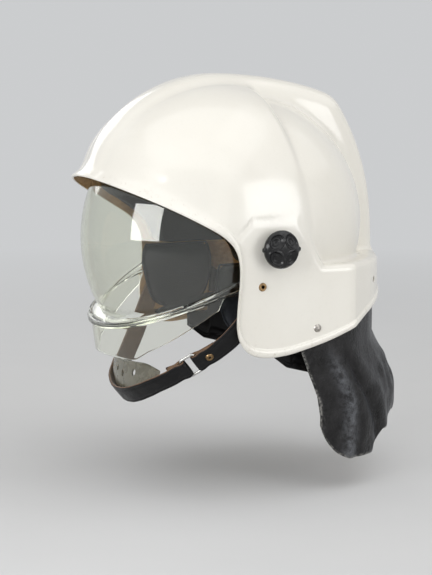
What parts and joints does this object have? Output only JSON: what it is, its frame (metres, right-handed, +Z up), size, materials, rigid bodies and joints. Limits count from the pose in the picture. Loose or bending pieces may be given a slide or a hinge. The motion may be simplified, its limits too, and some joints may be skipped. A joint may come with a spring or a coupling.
{
  "type": "fire helmet",
  "caption": "Fire helmet with a wide raised crest, a clear lifting face shield on side knobs, a leather chin strap with a moulded cup, and a leather neck curtain.",
  "frame": {"origin": "middle of the face shield's pivot axis, between the two knobs, where a head form's ear axis lies", "axes": "-Y is the way the wearer looks, +X is the wearer's left, +Z is up"},
  "size_m": [0.2686, 0.3198, 0.3566],
  "materials": {
    "laminate": "glossy white gel coat over glass fibre laminate, raw tan inside",
    "foam": "matt rigid foam",
    "lining": "dark quilted cloth",
    "sweat_leather": "soft brown leather",
    "pad": "dark blue-grey padded cloth",
    "black_leather": "smooth black leather with tan raw edges",
    "curtain_leather": "crinkled dark grey leather with a worn hem",
    "clear": "clear polycarbonate, slightly yellowed",
    "black_plastic": "glossy black moulded plastic",
    "nylon": "matt dark nylon",
    "ivory_plastic": "translucent ivory plastic, satin",
    "steel": "polished steel",
    "brass": "aged brass"
  },
  "bodies": {
    "shell": {"shell": "laminate", "impact_liner": "foam", "crown_pad": "lining", "sweatband": "sweat_leather", "nape_band": "black_leather", "cheek_pad_left": "pad", "cheek_pad_right": "pad", "pivot_bush_left": "nylon", "pivot_bush_right": "nylon", "strap_rivets": "brass", "strap_washers": "brass", "curtain_rivets": "steel", "curtain_washers": "steel", "neck_curtain": "curtain_leather"},
    "visor": {"visor": "clear", "knob_left": "black_plastic", "knob_right": "black_plastic", "spring_washers": "steel", "knob_screws": "steel"},
    "chin_strap": {"side_strap": "black_leather", "front_strap": "black_leather", "buckle_frame": "steel", "loop_rivet": "brass", "chin_cup": "ivory_plastic"}
  },
  "joints": [
    {"name": "visor_lift", "type": "hinge", "parent": "shell", "child": "visor", "pos_m": [0, 0, 0], "axis": [-1, 0, 0], "range_deg": [0, 50]},
    {"name": "strap_swing", "type": "hinge", "parent": "shell", "child": "chin_strap", "pos_m": [0, -0.0135, -0.034], "axis": [1, 0, 0], "range_deg": [0, 30]}
  ]
}
